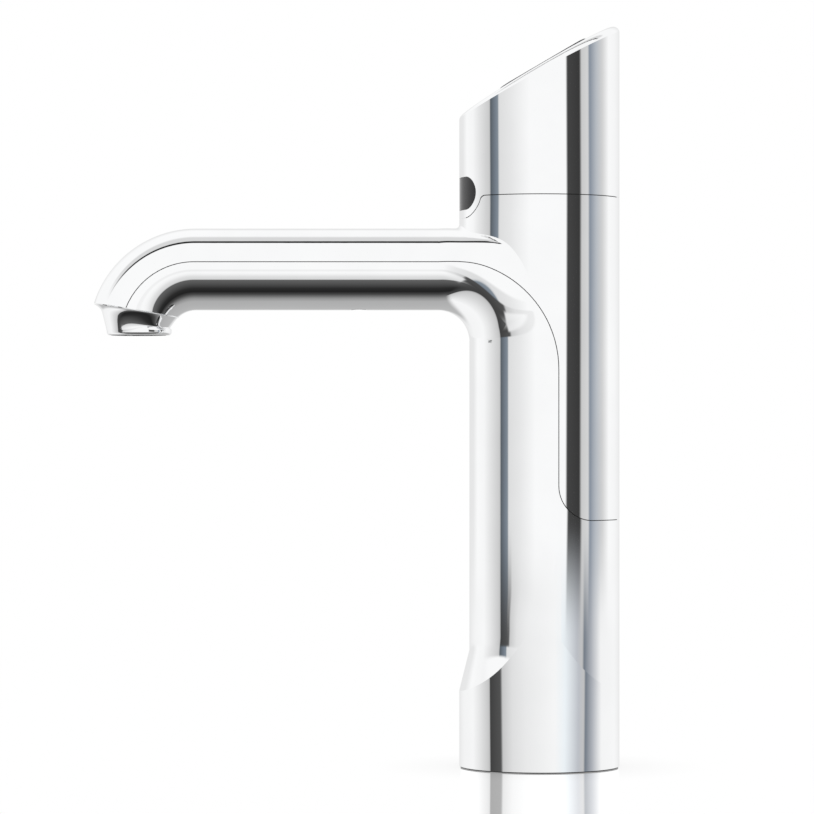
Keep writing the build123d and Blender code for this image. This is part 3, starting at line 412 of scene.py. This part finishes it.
def finish_for(slot, colour, finishes):
    """The material of one of the record's slots, in the colour that the record gives it."""
    if slot == "chrome_body":
        return chrome_plate(finishes)
    if slot == "window_black":
        return gloss_black(slot, tuple(finishes.window))
    if slot == "pad_black":
        return gloss_black(slot, colour)
    if slot == "board_green":
        return board_lacquer(slot, colour)
    if slot == "lens_clear":
        return lamp_lens(slot, colour)
    if slot in ("rubber_black", "silicone_grey"):
        return soft_rubber(slot, colour)
    if slot in ("steel", "brass", "copper"):
        return drawn_metal(slot, colour, along_axis)
    if slot == "key_satin":
        return drawn_metal(slot, colour, across_axis)
    return moulded_plastic(slot, colour, finishes)


def dress(names):
    """Gives CAD nodes the finish of their slot, with one material a slot."""
    finishes = bpy.context.scene.tap_finishes
    colours = {row["slot"]: tuple(row["base_color"]) for row in record["materials"]}
    for name in names:
        slot = slot_of[name]
        made = finish_made.get(slot)
        if made is None:
            made = finish_for(slot, colours[slot], finishes)
            finish_made[slot] = made
        mesh = nodes[name].data
        mesh.materials.clear()
        mesh.materials.append(made)


spout_height = 0.1863
tip_start = -0.1287
tip_radius = 0.0248
front_centre = 0.001147
front_join = 0.0071
swell_top = 0.0475
swell_run = 0.007
swell_tilt = 0.2
swell_side = -0.004
swell_fade = 0.012
foot_top = 0.028
merge_side = -0.015
merge_fade = 0.01
merge_top = 0.068
merge_run = 0.014
shoulder_power = 5
round_handle = 0.5523
full_handle = 0.17

known_normals = {}
slot_of = {}
finish_made = {}
for part in record["subparts"]:
    slot_of[part["node"]] = part["material_slot"]

chromed = [name for name, slot in slot_of.items() if slot == "chrome_body"]
keys = [name for name in slot_of if name.startswith(("key_", "lens_", "touch_plate"))]
inner = [name for name in slot_of if name not in chromed and name not in keys]


def eased(share):
    """Smooth step from 0 to 1, level at both ends."""
    share = min(max(share, 0.0), 1.0)
    return share * share * (3 - 2 * share)


def section_middle(elbow, turn):
    """Reach from the bend's axis to the middle of the section, and from there to its inside."""
    inner = elbow.spout + (elbow.front_length - elbow.spout) * eased(turn / radians(90))
    return elbow.bend + inner, inner


def sweep_point(elbow, turn, across):
    """Reach and half-depth of the section at a turn: across is 0 inside the bend and 1 at its crest."""
    middle, inner = section_middle(elbow, turn)
    flare = elbow.flare_inside + (elbow.flare_outside - elbow.flare_inside) * across
    depth = elbow.spout + (elbow.front_depth - elbow.spout) * eased(turn / flare)
    if across <= 0.5:
        angle = across * pi
        return middle - inner * cos(angle), depth * sin(angle)
    level = cos(turn) / (elbow.bend + 2 * elbow.spout)
    upright = sin(turn) / (elbow.bend + 2 * elbow.front_length)
    outer = (level**shoulder_power + upright**shoulder_power) ** (-1 / shoulder_power) - middle
    handle = round_handle + full_handle * sin(pi * min(turn / radians(60), 1))
    share = 2 * across - 1
    left = 1 - share
    near_end = 3 * left * left * share
    far_end = 3 * left * share * share
    reach = middle + outer * (near_end * handle + far_end + share**3)
    return reach, depth * (left**3 + near_end + far_end * handle)


def sweep_place(elbow, turn, across):
    """Point of the sweep's front half."""
    reach, depth = sweep_point(elbow, turn, across)
    return Vector(
        (elbow.turn_x + reach * sin(turn), -depth, elbow.turn_z + reach * cos(turn))
    )


def sweep_normal(elbow, place):
    """Outward normal of the sweep in front of or behind a point of the elbow's skin."""
    key = tuple(place)
    if key in known_normals:
        return known_normals[key]
    over_x = place.x - elbow.turn_x
    over_z = place.z - elbow.turn_z
    turn = min(max(atan2(over_x, over_z), 0.001), radians(90) - 0.001)
    reach = hypot(over_x, over_z)
    low, high = 0.001, 0.999
    for _ in range(24):
        across = (low + high) / 2
        if sweep_point(elbow, turn, across)[0] < reach:
            low = across
        else:
            high = across
    step = 0.0005
    along = sweep_place(elbow, turn + step, across) - sweep_place(elbow, turn - step, across)
    over = sweep_place(elbow, turn, across + step) - sweep_place(elbow, turn, across - step)
    normal = over.cross(along).normalized()
    if normal.y > 0:
        normal.negate()
    if place.y > 0:
        normal.y = -normal.y
    known_normals[key] = normal
    return normal


def spout_skin(elbow, place, facing):
    """Share and normal on the straight spout and its bent tip."""
    middle = Vector((place.x, 0.0, spout_height))
    if place.x < tip_start:
        centre = Vector((tip_start, 0.0, spout_height - tip_radius))
        way = Vector((place.x, 0.0, place.z)) - centre
        middle = centre + way.normalized() * tip_radius
    normal = place - middle
    off_skin = abs(normal.length - elbow.spout) > 0.00005
    if off_skin or facing.dot(normal) < 0:
        return 0.0, normal
    return 1.0, normal.normalized()


def column_skin(elbow, place, centre, facing):
    """Share and normal on the column's oval front, down to where the foot swells out."""
    reach = hypot(centre.x, centre.y)
    outward = facing.x * centre.x + facing.y * centre.y
    round_wall = reach > elbow.column - 0.00005 and abs(facing.z) < 0.01
    if round_wall or outward < reach / 2 or centre.z < foot_top:
        return 0.0, facing
    round_normal = Vector((place.x, place.y, 0.0)).normalized()
    if centre.x > front_join:
        return 1.0, round_normal
    over = (place.x - front_centre) / elbow.front_length**2
    aside = place.y / elbow.front_depth**2
    normal = Vector((over, aside, 0.0)).normalized()
    merge = eased((place.x - merge_side) / merge_fade) * eased((merge_top - place.z) / merge_run)
    normal = normal.lerp(round_normal, merge).normalized()
    swell = eased((swell_top - place.z) / swell_run)
    normal.z = swell_tilt * swell * eased((swell_side - place.x) / swell_fade)
    return 1.0, normal.normalized()


def elbow_skin(elbow, name, place, facing):
    """Share and normal on the elbow, with a soft end where the hood meets the neck."""
    over_x = place.x - elbow.turn_x
    over_z = place.z - elbow.turn_z
    turn = atan2(over_x, over_z)
    middle, _ = section_middle(elbow, turn)
    outward = (
        facing.x * (over_x - middle * sin(turn))
        + facing.y * place.y
        + facing.z * (over_z - middle * cos(turn))
    )
    if outward < 0.001:
        return 0.0, facing
    share = 1.0
    if name == "spine_cover":
        clear_of_neck = hypot(place.x, place.y) - elbow.column
        share = eased((clear_of_neck - 0.0003) / 0.0013)
    if share == 0:
        return 0.0, facing
    return share, sweep_normal(elbow, place)


def arm_skin(elbow, name, place, centre, facing):
    """Share and normal of the sweep at a corner of a face on the arm's outside."""
    if centre.x < elbow.turn_x:
        return spout_skin(elbow, place, facing)
    if centre.z > elbow.turn_z:
        return elbow_skin(elbow, name, place, facing)
    if name == "main_body":
        return column_skin(elbow, place, centre, facing)
    return 0.0, facing


def merged_copy(name):
    """A closed copy of a CAD piece, selected and active."""
    node = nodes[name]
    piece = node.copy()
    piece.data = node.data.copy()
    piece.name = name + "_plated"
    piece.parent = None
    bpy.context.scene.collection.objects.link(piece)
    bpy.ops.object.select_all(action="DESELECT")
    piece.select_set(True)
    bpy.context.view_layer.objects.active = piece
    bpy.ops.object.mode_set(mode="EDIT")
    bpy.ops.mesh.select_all(action="SELECT")
    bpy.ops.mesh.remove_doubles(threshold=0.000001)
    bpy.ops.mesh.select_all(action="DESELECT")
    bpy.ops.object.mode_set(mode="OBJECT")
    return piece


def refine_skin(elbow, name, piece):
    """Divides the faces of the arm's outside, so that its shine has no kinks."""
    mesh = piece.data
    for face in mesh.polygons:
        places = [mesh.vertices[index].co for index in face.vertices]
        shares = [
            arm_skin(elbow, name, place, face.center, face.normal)[0] for place in places
        ]
        face.select = min(shares) == 1
    bpy.ops.object.mode_set(mode="EDIT")
    bpy.ops.mesh.subdivide(number_cuts=2)
    bpy.ops.object.mode_set(mode="OBJECT")


def first_normals(node, mesh):
    """Normals of the CAD piece at the corners of a copy that has more faces."""
    source = node.data
    corners = [vertex.co for vertex in source.vertices]
    given = [corner.vector.copy() for corner in source.corner_normals]
    tree = BVHTree.FromPolygons(corners, [tuple(face.vertices) for face in source.polygons])
    normals = []
    for face in mesh.polygons:
        for index in face.vertices:
            inside = mesh.vertices[index].co.lerp(face.center, 0.02)
            place, _, nearest, _ = tree.find_nearest(inside)
            found = source.polygons[nearest]
            shares = poly_3d_calc([corners[at] for at in found.vertices], place)
            normal = Vector((0.0, 0.0, 0.0))
            for share, loop in zip(shares, found.loop_indices):
                normal += given[loop] * share
            normals.append(normal.normalized())
    return normals


def swept_copy(elbow, name):
    """A copy of a CAD piece whose plating sweeps smoothly along the arm."""
    piece = merged_copy(name)
    refine_skin(elbow, name, piece)
    mesh = piece.data
    normals = first_normals(nodes[name], mesh)
    for face in mesh.polygons:
        for loop, index in zip(face.loop_indices, face.vertices):
            place = mesh.vertices[index].co
            share, normal = arm_skin(elbow, name, place, face.center, face.normal)
            if share > 0:
                normals[loop] = normals[loop].lerp(normal, share).normalized()
        face.use_smooth = True
    mesh.normals_split_custom_set(normals)
    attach(piece, "tap")
    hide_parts(name)


class TAP_OT_elbow(bpy.types.Operator):
    """Sweep the plating of the body and cover smoothly round the elbow"""

    bl_idname = "tap.elbow"
    bl_label = "Elbow plating"

    def execute(self, context):
        elbow = context.scene.tap_elbow
        for name in ("main_body", "spine_cover"):
            swept_copy(elbow, name)
        return {"FINISHED"}


class TAP_OT_chrome(bpy.types.Operator):
    """Plate the body, cover, head cap and nozzle with chrome"""

    bl_idname = "tap.chrome"
    bl_label = "Chrome pieces"

    def execute(self, context):
        dress(chromed)
        return {"FINISHED"}


class TAP_OT_keys(bpy.types.Operator):
    """Finish the key pad, its keys and their lamps"""

    bl_idname = "tap.keys"
    bl_label = "Keys"

    def execute(self, context):
        dress(keys)
        return {"FINISHED"}


class TAP_OT_inner(bpy.types.Operator):
    """Finish the window, boards, tubes, seals and fasteners"""

    bl_idname = "tap.inner"
    bl_label = "Window and inner pieces"

    def execute(self, context):
        dress(inner)
        return {"FINISHED"}


def turn_share(angle):
    """Place on a ramp of an angle that goes round from -180 to 180 degrees."""
    return 0.5 + angle / 360.0


def round_ramp(wire, angle, stops):
    """Colour by an angle in radians, from stops in degrees."""
    share = angle * (1 / (2 * pi)) + 0.5
    placed = [(turn_share(place), colour) for place, colour in stops]
    return wire.node("ValToRGB", {"stops": placed}, {"Fac": share})


def tent_colour(wire, studio):
    """The soft tent by direction: strips to the left and right, and a dark deck below."""
    ray = wire.node("TexCoord", {}, {}).output("Generated")
    x = wire.node("SeparateXYZ", {}, {"Vector": ray})
    y = x.output("Y")
    z = x.output("Z")
    side = wire.maths("ARCTAN2", x, 0.0 - y)
    pitch = wire.maths("ARCTAN2", z, 0.0 - y)
    rear = grey(studio.tent_rear)
    high = [
        (-175.0, rear),
        (-145.0, grey(0.84)),
        (-130.0, grey(1.0)),
        (-112.0, grey(0.97)),
        (-98.0, grey(0.82)),
        (-80.0, grey(0.64)),
        (-77.5, grey(0.6)),
        (-76.0, (0.1, 0.118, 0.135, 1.0)),
        (-67.0, (0.19, 0.225, 0.27, 1.0)),
        (-63.0, (0.24, 0.28, 0.32, 1.0)),
        (-61.5, grey(0.76)),
        (-42.0, grey(0.84)),
        (-15.0, grey(1.0)),
        (36.5, grey(1.0)),
        (39.0, grey(0.06)),
        (58.5, grey(0.042)),
        (61.5, grey(0.62)),
        (72.5, grey(0.7)),
        (75.0, (0.24, 0.28, 0.34, 1.0)),
        (88.0, (0.5, 0.53, 0.57, 1.0)),
        (101.0, grey(0.68)),
        (117.0, grey(1.0)),
        (135.0, grey(0.97)),
        (175.0, rear),
    ]
    low = [
        (-175.0, rear),
        (-140.0, grey(0.95)),
        (-112.0, grey(0.98)),
        (-98.0, grey(0.84)),
        (-82.0, grey(0.64)),
        (-77.5, grey(0.56)),
        (-76.0, grey(0.055)),
        (-58.0, grey(0.09)),
        (-55.0, grey(0.6)),
        (-40.0, grey(0.78)),
        (-20.0, grey(0.87)),
        (20.0, grey(0.96)),
        (34.0, (0.88, 0.93, 0.96, 1.0)),
        (55.0, (0.53, 0.55, 0.59, 1.0)),
        (64.0, grey(0.56)),
        (66.5, (0.17, 0.2, 0.24, 1.0)),
        (80.0, (0.46, 0.48, 0.52, 1.0)),
        (98.0, grey(0.95)),
        (135.0, grey(0.97)),
        (175.0, rear),
    ]
    sunk = [
        (-175.0, rear),
        (-140.0, grey(0.95)),
        (-112.0, grey(0.98)),
        (-98.0, grey(0.84)),
        (-82.0, grey(0.64)),
        (-77.5, grey(0.56)),
        (-76.0, grey(0.055)),
        (-61.0, grey(0.07)),
        (-58.5, grey(0.82)),
        (-40.0, grey(0.92)),
        (-20.0, grey(1.0)),
        (135.0, grey(0.97)),
        (175.0, rear),
    ]
    level = wire.node("Math", {"operation": "ARCSINE"}, {0: z})
    sink = level.step(radians(-9.5), radians(-6.0))
    bounces = wire.node("LightPath", {}, {}).output("Glossy Depth")
    first = 1.0 - bounces.step(1.2, 1.8)
    lift = level.step(radians(-3.4), radians(-1.4)) * first
    lower = sink.colour(round_ramp(wire, side, sunk), round_ramp(wire, side, low))
    walls = lift.colour(lower, round_ramp(wire, side, high))
    below = [
        (-180.0, grey(0.52)),
        (-150.0, grey(0.5)),
        (-105.0, grey(0.44)),
        (-92.0, grey(0.3)),
        (-84.0, grey(0.16)),
        (-77.0, grey(0.065)),
        (-68.0, grey(0.016)),
        (-57.0, grey(0.026)),
        (-42.0, grey(0.09)),
        (-34.0, grey(0.12)),
        (-31.8, grey(0.09)),
        (-30.4, grey(0.7)),
        (-20.0, grey(0.8)),
        (-8.0, grey(0.93)),
        (0.0, grey(1.0)),
    ]
    above = [
        (77.8, grey(1.0)),
        (78.8, grey(0.004)),
        (84.2, grey(0.004)),
        (85.2, grey(0.72)),
        (99.0, grey(0.72)),
        (106.0, grey(1.0)),
        (150.0, grey(1.0)),
        (172.0, grey(0.9)),
    ]
    upper = [
        (-175.0, rear),
        (-140.0, grey(1.0)),
        (140.0, grey(1.0)),
        (175.0, rear),
    ]
    deck = round_ramp(wire, pitch, below)
    roof = round_ramp(wire, pitch, above)
    forward = side.step(radians(-76.0), radians(-62.0))
    leftward = (0.0 - x).step(0.35, 0.6) * (1.0 - forward)
    deck_share = (1.0 - level.step(radians(-24.0), radians(-9.0))) * (1.0 - leftward)
    upper_share = level.step(radians(7.5), radians(12.0))
    roof_share = level.step(radians(20.0), radians(45.0))
    with_upper = upper_share.colour(walls, round_ramp(wire, side, upper))
    with_deck = deck_share.colour(with_upper, deck)
    return roof_share.colour(with_deck, roof)


def make_tent(context, studio):
    world = bpy.data.worlds.new("studio_tent")
    context.scene.world = world
    world.use_nodes = True
    world.node_tree.nodes.clear()
    wire = Wire(world.node_tree)
    path = wire.node("LightPath", {}, {})
    mirrored = wire.maths(
        "MAXIMUM", path.output("Is Glossy Ray"), path.output("Is Transmission Ray")
    )
    seen = mirrored.colour(grey(1.0), tent_colour(wire, studio))
    light = wire.node("Background", {}, {"Color": seen, "Strength": 1.0})
    wire.node("OutputWorld", {}, {"Surface": light})


def floor_material(studio):
    """White acrylic that glows evenly, mirrors the tap near its foot and has a painted contact shadow
    where they touch.
    """
    material, wire = new_material("floor_white")
    film = clouds(wire, 3.0)
    image = wire.node("BsdfGlossy", {}, {"Color": grey(1.0), "Roughness": 0.03 + film * 0.02})
    open_sky = wire.node("AmbientOcclusion", {"samples": 8}, {"Distance": 0.035})
    # Painted contact shadow: the floor's glow is darkened down to 0.6 where the tap closes off the sky.
    painted_contact_shadow = open_sky.output("AO").colour(grey(0.6), grey(1.0))
    white = (1.0 - studio.floor_gloss * studio.tent_rear) / (1.0 - studio.floor_gloss)
    glow = wire.node("Emission", {}, {"Color": painted_contact_shadow, "Strength": white})
    near = wire.node("MixShader", {}, {0: studio.floor_gloss, 1: glow, 2: image})
    place = wire.node("TexCoord", {}, {}).output("Object")
    away = wire.node("VectorMath", {"operation": "LENGTH"}, {0: place}).output("Value")
    far = wire.node("Emission", {}, {"Color": grey(1.0), "Strength": 1.0})
    whole = wire.node("MixShader", {}, {0: away.step(0.35, 0.9), 1: near, 2: far})
    wire.node("OutputMaterial", {}, {"Surface": whole})
    return material


def make_floor(studio):
    bpy.ops.object.select_all(action="DESELECT")
    bpy.ops.mesh.primitive_plane_add(size=studio.floor_size, location=(0, 0, 0))
    floor = bpy.context.object
    floor.name = "floor"
    floor.data.materials.append(floor_material(studio))
    floor.visible_glossy = False


def make_camera(context, studio):
    """Camera at the photograph's place, level and square to the spout."""
    data = bpy.data.cameras.new("camera")
    data.lens = studio.lens
    data.sensor_width = 36.0
    data.shift_y = studio.lens_rise
    camera = bpy.data.objects.new("camera", data)
    camera.location = (studio.camera_side, -studio.camera_distance, studio.camera_height)
    camera.rotation_euler = (radians(90), 0, 0)
    context.scene.collection.objects.link(camera)
    context.scene.camera = camera


class TAP_OT_stage(bpy.types.Operator):
    """Set up the tent, floor and camera"""

    bl_idname = "tap.stage"
    bl_label = "Stage"

    def execute(self, context):
        studio = context.scene.tap_studio
        context.scene.view_settings.view_transform = "Standard"
        make_tent(context, studio)
        make_floor(studio)
        make_camera(context, studio)
        return {"FINISHED"}


steps = (TAP_OT_chrome, TAP_OT_elbow, TAP_OT_keys, TAP_OT_inner, TAP_OT_stage)


class TAP_PT_panel(bpy.types.Panel):
    """Lists the tap's steps and settings"""

    bl_idname = "TAP_PT_panel"
    bl_label = "Tap"
    bl_space_type = "VIEW_3D"
    bl_region_type = "UI"
    bl_category = "Tap"

    def draw(self, context):
        for operator in steps:
            self.layout.operator(operator.bl_idname)
        scene = context.scene
        for group in (scene.tap_finishes, scene.tap_elbow, scene.tap_studio):
            for name in group.__annotations__:
                self.layout.prop(group, name)


classes = (TapFinishes, TapElbow, TapStudio, *steps, TAP_PT_panel)


def register():
    for each in classes:
        bpy.utils.register_class(each)
    bpy.types.Scene.tap_finishes = bpy.props.PointerProperty(type=TapFinishes)
    bpy.types.Scene.tap_elbow = bpy.props.PointerProperty(type=TapElbow)
    bpy.types.Scene.tap_studio = bpy.props.PointerProperty(type=TapStudio)


def unregister():
    del bpy.types.Scene.tap_studio
    del bpy.types.Scene.tap_elbow
    del bpy.types.Scene.tap_finishes
    for each in reversed(classes):
        bpy.utils.unregister_class(each)


def main():
    register()
    bpy.ops.tap.chrome()
    bpy.ops.tap.elbow()
    bpy.ops.tap.keys()
    bpy.ops.tap.inner()
    bpy.ops.tap.stage()


if __name__ == "__main__":
    main()
